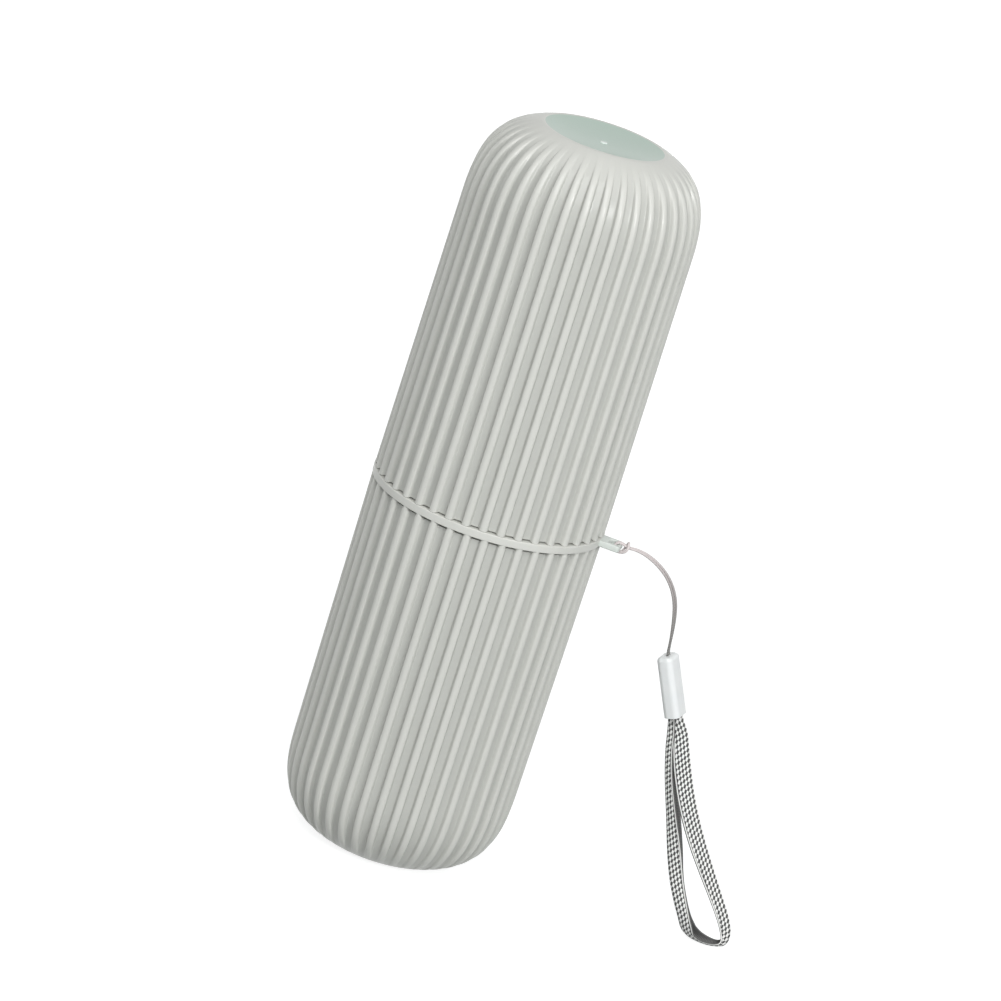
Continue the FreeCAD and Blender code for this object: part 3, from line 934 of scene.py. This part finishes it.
@dataclass
class StrapLug:
    """The tongue on the rim ring, with the hole that leaves a bar for the cord."""

    sizes: CaseSizes
    reach: float = 5.6
    root: float = 1.5
    width: float = 6.4
    height: float = 1.8
    bar: float = 1
    hole_length: float = 2.6
    hole_width: float = 3.6
    corner: float = 0.9
    edge_round: float = 0.4
    corner_steps: int = 8
    edge_steps: int = 4

    def bar_centre(self) -> Vector:
        """The middle of the lug's bar, where the strap hangs."""
        out = self.sizes.ring_radius + self.reach - self.bar / 2
        return Vector((out, 0, self.sizes.seam_height - self.sizes.ring_height / 2))

    def rounded_outline(self, low: Vector, high: Vector) -> list[Vector]:
        """Rounds the corners of a rectangle.

        Args:
            low: The rectangle's lowest corner.
            high: Its highest corner.

        Returns:
            The outline's points, counter-clockwise.
        """
        left, right = low.x + self.corner, high.x - self.corner
        bottom, top = low.y + self.corner, high.y - self.corner
        centres = [Vector(spot) for spot in ((right, top), (left, top), (left, bottom), (right, bottom))]
        points = []
        for quarter, centre in enumerate(centres):
            for step in range(self.corner_steps + 1):
                angle = math.pi / 2 * (quarter + step / self.corner_steps)
                points.append(centre + self.corner * Vector((math.cos(angle), math.sin(angle))))
        return points

    def build(self, material: bpy.types.Material) -> bpy.types.Object:
        """Builds the lug from its outline and its hole.

        Args:
            material: The lug's plastic.

        Returns:
            The finished piece.
        """
        ring = self.sizes.ring_radius
        tip = ring + self.reach
        half = self.width / 2
        outline = self.rounded_outline(Vector((ring - self.root, -half)), Vector((tip, half)))
        hole_end = tip - self.bar
        hole_start = hole_end - self.hole_length
        half_hole = self.hole_width / 2
        hole = self.rounded_outline(Vector((hole_start, -half_hole)), Vector((hole_end, half_hole)))
        curve = bpy.data.curves.new("lug_outline", "CURVE")
        curve.dimensions = "2D"
        curve.fill_mode = "BOTH"
        curve.extrude = (self.height / 2 - self.edge_round) * MM
        curve.bevel_depth = self.edge_round * MM
        curve.bevel_resolution = self.edge_steps
        curve.offset = -self.edge_round * MM
        for line in (outline, hole):
            spline = curve.splines.new("POLY")
            spline.points.add(len(line) - 1)
            for target, point in zip(spline.points, line):
                target.co = (point.x * MM, point.y * MM, 0, 1)
            spline.use_cyclic_u = True
        holder = bpy.data.objects.new("lug_outline", curve)
        mesh = bpy.data.meshes.new_from_object(holder)
        mesh.transform(Matrix.Translation((0, 0, self.bar_centre().z * MM)))
        bpy.data.objects.remove(holder)
        bpy.data.curves.remove(curve)
        piece = add_piece("lower_cup_lug", mesh, [material])
        mesh.set_sharp_from_angle(angle=SHARP_EDGE)
        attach(piece, Body.CASE.value)
        return piece


# Strap


@dataclass(frozen=True)
class StrapPlace:
    """Where the strap hangs and how its ferrule is turned."""

    bar: Vector
    azimuth: float = 16.3
    ferrule_out: float = 22.1
    ferrule_drop: float = 26.2
    ferrule_tilt: float = 24.2
    ferrule_sway: float = 4
    ferrule_twist: float = 31
    ferrule_length: float = 17.4
    clearance: float = 0.15

    def turn(self) -> Matrix:
        """The turn of the strap's plane."""
        return Matrix.Rotation(math.radians(self.azimuth), 3, "Z")

    def at(self, out: float, back: float, height: float) -> Vector:
        """Gives a point measured from the lug's bar: out along the strap's plane, behind it, and up."""
        return self.bar + self.turn() @ Vector((out, back, height))

    def ferrule_turn(self) -> Matrix:
        """Gives how the ferrule is turned.

        Returns:
            The turn from standing upright with its width along Y.
        """
        sway = Matrix.Rotation(math.radians(-self.ferrule_sway), 3, "X")
        tilt = Matrix.Rotation(math.radians(-self.ferrule_tilt), 3, "Y")
        return self.turn() @ sway @ tilt @ Matrix.Rotation(math.radians(-self.ferrule_twist), 3, "Z")

    def in_ferrule(self, across: float, wide: float, height: float) -> Vector:
        """Gives a point measured from the middle of the ferrule's lower end, along its own directions."""
        top = self.at(self.ferrule_out, 0, -self.ferrule_drop)
        return top + self.ferrule_turn() @ Vector((across, wide, height - self.ferrule_length))


@dataclass
class StrapCord:
    """The doubled cord between the lug and the ferrule: one twisted cord, hitched round the lug's bar."""

    place: StrapPlace
    lug: StrapLug
    diameter: float = 0.6
    yarn_diameter: float = 0.72
    strand_pitch: float = 0.64
    hole_depth: float = 4
    hitch_clearance: float = 0.1
    plies: int = 3
    ply_height: float = 0.12
    lay_length: float = 2.4
    worn_most: float = 0.9
    sides: int = 18
    steps: int = 20
    length: float = 106.4

    # The hitch's crossing bight: distance out past the cord round the bar, to the side, and over the bar.
    HITCH_ROUTE = (
        (0.3, 1.45, -0.5),
        (0.7, 1.45, 0.9),
        (0.7, 0.4, 1.8),
    )

    # The strands from the lug to the ferrule: distance out from the bar, height over it, and the pair's roll.
    STRAND_ROUTE = (
        (2.4, 0.45, 0),
        (4.6, 0.55, 10),
        (7.4, 0.05, 35),
        (10.4, -1.2, 60),
        (13.3, -3.0, 80),
        (15.8, -5.2, 90),
        (17.9, -8.0, 90),
        (19.5, -11.3, 80),
        (20.5, -15.0, 60),
        (21.2, -18.9, 35),
        (21.7, -22.8, 10),
    )

    def strand(self, side: int) -> list[Vector]:
        """Gives one strand's points.

        Args:
            side: 1 or -1, for the two strands of the pair.

        Returns:
            The points from inside the ferrule's hole up to the lug.
        """
        place = self.place
        half = side * self.strand_pitch / 2
        bottom = place.ferrule_length - self.hole_depth + place.clearance
        points = [place.in_ferrule(0, half, bottom)]
        points.append(place.in_ferrule(0, half, place.ferrule_length + place.clearance))
        ends = [(0, 0)] + [(out, height) for out, height, _ in self.STRAND_ROUTE]
        ends.append((place.ferrule_out, -place.ferrule_drop))
        for index in range(len(self.STRAND_ROUTE), 0, -1):
            out, height, roll = self.STRAND_ROUTE[index - 1]
            before, after = ends[index - 1], ends[index + 1]
            run = Vector((after[0] - before[0], after[1] - before[1])).normalized()
            back = half * math.cos(math.radians(roll))
            over = half * math.sin(math.radians(roll))
            points.append(place.at(out - over * run.y, back, height + over * run.x))
        return points

    def hitch_half(self, side: int) -> list[Vector]:
        """Gives one half of the hitch.

        Args:
            side: 1 or -1, for the strand that it carries on from.

        Returns:
            The points round the bar, then up beside the strands to the crossing bight.
        """
        inner = max(self.lug.height, self.lug.bar) / 2 + self.hitch_clearance + self.diameter / 2
        sixth = math.pi / 3
        corner = inner / math.cos(sixth / 2)
        along = side * self.strand_pitch / 2
        points = []
        for count in range(1, 6):
            spot = Vector((corner * math.cos(count * sixth), along, corner * math.sin(count * sixth)))
            points.append(self.place.bar + spot)
        for out, beside, height in self.HITCH_ROUTE:
            points.append(self.place.at(corner + out, side * beside, height))
        return points

    def route(self) -> list[Vector]:
        """Gives the whole cord's points.

        Returns:
            The points from the ferrule round the lug's bar and back to the ferrule.
        """
        there = self.strand(1) + self.hitch_half(1)
        back = self.strand(-1) + self.hitch_half(-1)
        return there + back[::-1]

    def build(self, material: bpy.types.Material) -> bpy.types.Object:
        """Builds the cord as a tube whose plies wind round its line.

        Args:
            material: The cord's yarn.

        Returns:
            The finished piece.
        """
        line = smooth_path(self.route(), self.steps)
        along = lengths_along(line)
        side = (line[1] - line[0]).orthogonal().normalized()
        points = []
        lay = []
        worn = []
        for index, middle in enumerate(line):
            run = (line[min(index + 1, len(line) - 1)] - line[max(index - 1, 0)]).normalized()
            side = (side - side.dot(run) * run).normalized()
            over = run.cross(side)
            wind = 2 * math.pi * along[index] / self.lay_length
            for corner in range(self.sides):
                angle = 2 * math.pi * corner / self.sides
                crown = abs(math.cos(self.plies * (angle - wind) / 2))
                radius = self.yarn_diameter / 2 * (1 - self.ply_height * (1 - crown))
                points.append(middle + radius * (math.cos(angle) * side + math.sin(angle) * over))
                lay.append(crown)
            worn += [self.worn_most * math.sin(math.pi * along[index] / along[-1]) ** 2] * self.sides
        mesh = loft("strap_cord_twist", points, self.sides)
        # The height on each ply sets the painted shade in the furrows.
        set_values(mesh, "lay", lay)
        set_values(mesh, "worn", worn)
        piece = add_piece("strap_cord_twist", mesh, [material])
        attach(piece, Body.STRAP.value)
        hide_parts("strap_cord")
        return piece


@dataclass(frozen=True)
class FoldedSection:
    """One section across the folded webbing, as an arch.

    Chord is the point midway between its edges. Span goes from there to the far edge, and fold to the crown.
    Run is the way along the webbing.
    """

    chord: Vector
    span: Vector
    fold: Vector
    run: Vector
    fold_round: float

    def at(self, part: float, lift: float) -> Vector:
        """Gives a point of the section.

        Args:
            part: How far across, from -1 at the near edge to 1 at the far one.
            lift: Distance from the cloth's middle layer towards its outer face.

        Returns:
            The point.
        """
        spread = part * (1 + self.fold_round * (1 - part * part))
        slope = self.span * (1 + self.fold_round * (1 - 3 * part * part)) - 2 * part * self.fold
        arch = self.chord + self.span * spread + self.fold * (1 - part * part)
        return arch + slope.cross(self.run).normalized() * lift


@dataclass
class StrapWebbing:
    """The woven wrist loop, folded along its middle, both of whose ends go into the ferrule."""

    place: StrapPlace
    width: float = 5.4
    thickness: float = 0.5
    leg_gap: float = 0.9
    slot_depth: float = 5
    slot_fold: float = 2.6
    slot_share: float = 0.6
    fold_round: float = 0.4
    fold_outside: float = 0.42
    face_share: float = 0.97
    relief: float = 0.1
    relief_inset: float = 0.5
    crowding: float = 0.6
    outer_columns: int = 72
    inner_columns: int = 24
    edge_columns: int = 6
    steps: int = 52
    length: float = 153

    # Distance out from the bar, behind the strap's plane and over the bar, how far the far edge leans out of
    # the loop, how far the fold stands out from the edges, and the edges' gap as a share of the width.
    ROUTE = (
        (29.8, -1.2, -47.3, -28, 2.5, 0.36),
        (30.6, -1.8, -51.8, -28, 2.4, 0.38),
        (32.9, -2.8, -59.7, -28, 2.7, 0.42),
        (36.8, -4.0, -69.6, -30, 3.6, 0.46),
        (40.0, -5.2, -78.4, -14, 4.2, 0.4),
        (43.0, -6.4, -86.5, -2, 3.8, 0.3),
        (45.9, -7.2, -92.2, -4, 3.5, 0.3),
        (48.4, -7.3, -96.5, -10, 3.3, 0.34),
        (50.2, -6.8, -99.4, -22, 3.8, 0.42),
        (52.0, -5.8, -101.2, -38, 3.4, 0.5),
        (55.4, -5.6, -102.4, -32, 1.8, 0.46),
        (59.4, -6.4, -102.4, -6, 1.0, 0.46),
        (61.7, -7.1, -101.3, 10, 1.8, 0.4),
        (61.6, -7.1, -98.3, 12, 2.8, 0.3),
        (59.6, -6.6, -94.3, 6, 3.2, 0.3),
        (55.3, -5.8, -88.3, 0, 3.5, 0.28),
        (50.5, -4.8, -81.7, -2, 4.1, 0.28),
        (45.3, -3.8, -74.2, -2, 4.6, 0.28),
        (40.2, -2.9, -65.5, 4, 4.7, 0.28),
        (36.1, -2.1, -56.6, 8, 4.8, 0.28),
        (33.4, -1.6, -49.4, 10, 4.3, 0.3),
        (32.2, -1.3, -46.0, 12, 3.9, 0.34),
    )

    def lines(self) -> tuple[list[Vector], list[Vector], list[Vector]]:
        """Gives the lines that the webbing follows.

        Returns:
            The near edge, the fold and the far edge, each from slot to slot.
        """
        place = self.place
        leg = (self.thickness + self.leg_gap) / 2
        heights = (self.slot_depth - place.clearance, 0)
        across = place.ferrule_turn() @ Vector((0, 1, 0)) * (self.width / 2 * self.slot_share)
        outward = place.ferrule_turn() @ Vector((1, 0, 0)) * self.slot_fold
        middles = [place.in_ferrule(-leg, 0, height) for height in heights]
        edges = [across, across]
        folds = [-outward, -outward]
        for index, (out, back, height, lean, fold, share) in enumerate(self.ROUTE):
            before = Vector(self.ROUTE[max(index - 1, 0)][:3])
            after = Vector(self.ROUTE[min(index + 1, len(self.ROUTE) - 1)][:3])
            run = (after - before).normalized()
            inward = run.cross(Vector((0, 1, 0))).normalized()
            tilt = math.radians(lean)
            wide = inward.cross(run) * math.cos(tilt) - inward * math.sin(tilt)
            turn = place.turn()
            middles.append(place.at(out, back, height))
            edges.append(turn @ wide * (self.width / 2 * share))
            folds.append(turn @ wide.cross(run) * fold)
        middles += [place.in_ferrule(leg, 0, height) for height in reversed(heights)]
        edges += [across, across]
        folds += [outward, outward]
        inner = 1 - self.fold_outside
        near = [middle - edge - fold * inner for middle, edge, fold in zip(middles, edges, folds)]
        crown = [middle + fold * self.fold_outside for middle, fold in zip(middles, folds)]
        far = [middle + edge - fold * inner for middle, edge, fold in zip(middles, edges, folds)]
        return smooth_path(near, self.steps), smooth_path(crown, self.steps), smooth_path(far, self.steps)

    def edge(self, side: int) -> list[tuple[float, float]]:
        """Rounds one edge of the webbing's section.

        Args:
            side: 1 for the far edge, -1 for the near one.

        Returns:
            The part across and the lift of each point, from the outer face to the inner one.
        """
        points = []
        for column in range(1, self.edge_columns):
            angle = math.pi * (0.5 - column / self.edge_columns)
            part = self.face_share + (1 - self.face_share) * math.cos(angle)
            points.append((side * part, self.thickness / 2 * math.sin(angle)))
        return points

    def build(self, weave: WovenPolyester, materials: Sequence[bpy.types.Material]) -> bpy.types.Object:
        """Builds the webbing with its floats as real relief.

        Args:
            weave: The outer face's weave, whose relief the mesh follows.
            materials: The outer face, and the inner face with the edges.

        Returns:
            The finished piece.
        """
        near, crown, far = self.lines()
        half = self.thickness / 2
        steps = [2 * column / self.outer_columns - 1 for column in range(self.outer_columns + 1)]
        parts = [self.face_share * math.copysign(abs(step) ** self.crowding, step) for step in steps]
        inner = [1 - 2 * column / self.inner_columns for column in range(self.inner_columns + 1)]
        points = []
        places = []
        for index, along in enumerate(lengths_along(crown)):
            run = crown[min(index + 1, len(crown) - 1)] - crown[max(index - 1, 0)]
            chord = (near[index] + far[index]) / 2
            span = (far[index] - near[index]) / 2
            section = FoldedSection(chord, span, crown[index] - chord, run, self.fold_round)
            reach = lengths_along([section.at(part, 0) for part in parts])
            for part, distance in zip(parts, reach):
                across = distance - reach[self.outer_columns // 2]
                inset = min(distance, reach[-1] - distance)
                sunk = self.relief * (weave.wave(across, along) - 1) / 2 * min(1, inset / self.relief_inset)
                points.append(section.at(part, half + sunk))
                places += (across, along, inset)
            back = self.edge(1) + [(part * self.face_share, -half) for part in inner] + self.edge(-1)[::-1]
            for part, lift in back:
                points.append(section.at(part, lift))
                places += (part * self.width, along, 0.0)
        around = len(points) // len(crown)
        mesh = loft("strap_webbing_loop", points, around)
        ring_kinds = [0 if column < self.outer_columns else 1 for column in range(around)]
        mesh.polygons.foreach_set("material_index", [1, 1] + ring_kinds * (len(crown) - 1))
        mesh.attributes.new("weave_mm", "FLOAT_VECTOR", "POINT").data.foreach_set("vector", places)
        piece = add_piece("strap_webbing_loop", mesh, materials)
        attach(piece, Body.STRAP.value)
        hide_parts("strap_webbing")
        return piece


def dress_ferrule(material: bpy.types.Material) -> bpy.types.Object:
    """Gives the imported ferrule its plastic.

    Args:
        material: The ferrule's plastic.

    Returns:
        The ferrule.
    """
    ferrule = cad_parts["strap_ferrule"]
    ferrule.data.materials.clear()
    ferrule.data.materials.append(material)
    return ferrule


# Studio


@dataclass(frozen=True)
class Softbox:
    """A rectangular lamp that faces the case's middle. One that isn't mirrored stays out of reflections."""

    name: str
    azimuth: float
    elevation: float
    width_m: float
    height_m: float
    power_w: float
    away_m: float = 1.8
    mirrored: bool = True

    def build(self, target: Vector) -> bpy.types.Object:
        """Hangs the lamp and turns it to the target.

        Args:
            target: The point that it faces, in metres.

        Returns:
            The lamp.
        """
        data = bpy.data.lights.new(self.name, "AREA")
        data.shape = "RECTANGLE"
        data.size = self.width_m
        data.size_y = self.height_m
        data.energy = self.power_w
        lamp = bpy.data.objects.new(self.name, data)
        swing = Matrix.Rotation(math.radians(self.azimuth), 3, "Z")
        towards = swing @ Matrix.Rotation(math.radians(-self.elevation), 3, "Y") @ Vector((1, 0, 0))
        lamp.visible_glossy = self.mirrored
        lamp.location = target + towards * self.away_m
        lamp.rotation_euler = towards.to_track_quat("Z", "Y").to_euler()
        bpy.context.scene.collection.objects.link(lamp)
        return lamp


@dataclass(frozen=True)
class Studio:
    """The camera, the floor, the surrounding light and the lamps."""

    eye: tuple[float, float, float] = (178.37, -1247.53, 504.08)
    target: tuple[float, float, float] = (3.04, 0, 104.87)
    roll: float = 17.81
    lens: float = 174.83
    sensor: float = 36
    floor_m: float = 12
    floor_colour: str = "#A4A6A6"
    floor_lift: float = 0.85
    ambient: float = 0.25
    ambient_colour: str = "#F4F8F7"

    def camera(self) -> bpy.types.Object:
        """Sets up the camera at the photograph's viewing angle.

        Returns:
            The camera.
        """
        data = bpy.data.cameras.new("camera")
        data.sensor_width = self.sensor
        data.lens = self.lens
        camera = bpy.data.objects.new("camera", data)
        back = (Vector(self.eye) - Vector(self.target)).normalized()
        level = Vector((0, 0, 1)).cross(back).normalized()
        turn = Matrix((level, back.cross(level), back)).transposed()
        turn = turn @ Matrix.Rotation(math.radians(self.roll), 3, "Z")
        camera.matrix_world = Matrix.Translation(Vector(self.eye) * MM) @ turn.to_4x4()
        bpy.context.scene.collection.objects.link(camera)
        bpy.context.scene.camera = camera
        return camera

    def shown(self, tree: bpy.types.NodeTree) -> bpy.types.Node:
        """Adds the test for rays that show the background.

        Args:
            tree: The node tree of the world or the floor.

        Returns:
            The node that gives 1 for rays from the camera, off a gloss or through glass.
        """
        path = add_node(tree, "ShaderNodeLightPath").outputs
        shown = path["Is Camera Ray"]
        for kind in ("Is Glossy Ray", "Is Transmission Ray"):
            shown = add_node(tree, "ShaderNodeMath", {0: shown, 1: path[kind]}, operation="MAXIMUM")
        return shown

    def world(self) -> None:
        """Sets the even light from all round, with white behind the object."""
        world = bpy.data.worlds.new("studio")
        world.use_nodes = True
        tree = world.node_tree
        tree.nodes.clear()
        ambient = add_node(
            tree, "ShaderNodeBackground", {"Color": linear(self.ambient_colour), "Strength": self.ambient}
        )
        white = add_node(tree, "ShaderNodeBackground", {"Color": (1, 1, 1, 1), "Strength": 1.0})
        mix = add_node(tree, "ShaderNodeMixShader", {0: self.shown(tree), 1: ambient, 2: white})
        add_node(tree, "ShaderNodeOutputWorld", {"Surface": mix})
        bpy.context.scene.world = world

    def floor(self) -> bpy.types.Object:
        """Lays the pale floor, which reads as white and keeps the shadow.

        Returns:
            The floor.
        """
        half = self.floor_m / 2
        mesh = bpy.data.meshes.new("floor")
        corners = [(-half, -half, 0), (half, -half, 0), (half, half, 0), (-half, half, 0)]
        mesh.from_pydata(corners, [], [(0, 1, 2, 3)])
        material, tree = new_material("pale_studio_floor")
        diffuse = add_node(tree, "ShaderNodeBsdfDiffuse", {"Color": linear(self.floor_colour)})
        lift = {0: self.shown(tree), 1: self.floor_lift}
        strength = add_node(tree, "ShaderNodeMath", lift, operation="MULTIPLY")
        glow = add_node(tree, "ShaderNodeEmission", {"Color": (1, 1, 1, 1), "Strength": strength})
        both = add_node(tree, "ShaderNodeAddShader", {0: diffuse, 1: glow})
        add_node(tree, "ShaderNodeOutputMaterial", {"Surface": both})
        floor = add_piece("floor", mesh, [material])
        return floor

    def build(self) -> None:
        """Builds the whole studio."""
        bpy.context.scene.view_settings.view_transform = "Standard"
        self.camera()
        self.world()
        self.floor()
        middle = Vector(self.target) * MM
        lamps = [
            Softbox("key", azimuth=-46, elevation=22, width_m=0.3, height_m=0.36, power_w=9.4, away_m=1.6),
            Softbox("front", azimuth=-86, elevation=42, width_m=1.4, height_m=1.2, power_w=20.5),
            Softbox("side", azimuth=-180, elevation=6, width_m=0.4, height_m=0.6, power_w=3),
            Softbox("back", azimuth=95, elevation=4, width_m=0.5, height_m=0.6, power_w=14, mirrored=False),
        ]
        for lamp in lamps:
            lamp.build(middle)


def main() -> None:
    """Builds every piece in order."""
    logging.basicConfig(level=logging.INFO)
    sizes = CaseSizes()
    plastic = SatinPolypropylene().material()
    tongue = SatinPolypropylene("satin_polypropylene_lug", body="#D8DED9", shade="#D2D8D3")
    # The gate mark gets a paler painted mint reflection; its gloss is real.
    gloss = SatinPolypropylene("sheared_polypropylene_gate", polished_end_painted_reflection="#DCE5E0", flat_roughness=0.12)
    lower = LowerCup(
        "lower_cup_shell",
        Body.CASE,
        "lower_cup",
        sizes,
        mouth_height=sizes.seam_height - sizes.ring_height,
        end_height=0,
        turn=1.2,
    )
    upper = UpperCup(
        "upper_cup_shell",
        Body.CAP,
        "upper_cup",
        sizes,
        mouth_height=sizes.cap_base,
        end_height=sizes.length,
        turn=-1.2,
        dish=sizes.dish,
    )
    lug = StrapLug(sizes)
    place = StrapPlace(lug.bar_centre())
    weave = WovenPolyester()
    pieces = [
        lower.build(plastic),
        upper.build(plastic),
        GateMark(sizes).build(gloss.material()),
        lug.build(tongue.material()),
        StrapCord(place, lug).build(TwistedPolyester().material()),
        dress_ferrule(WhitePolyethylene().material()),
        StrapWebbing(place).build(weave, [weave.material(), PlainWeave().material()]),
    ]
    for piece in pieces:
        LOG.info("%s: %d faces", piece.name, len(piece.data.polygons))
    Studio().build()


if __name__ == "__main__":
    main()
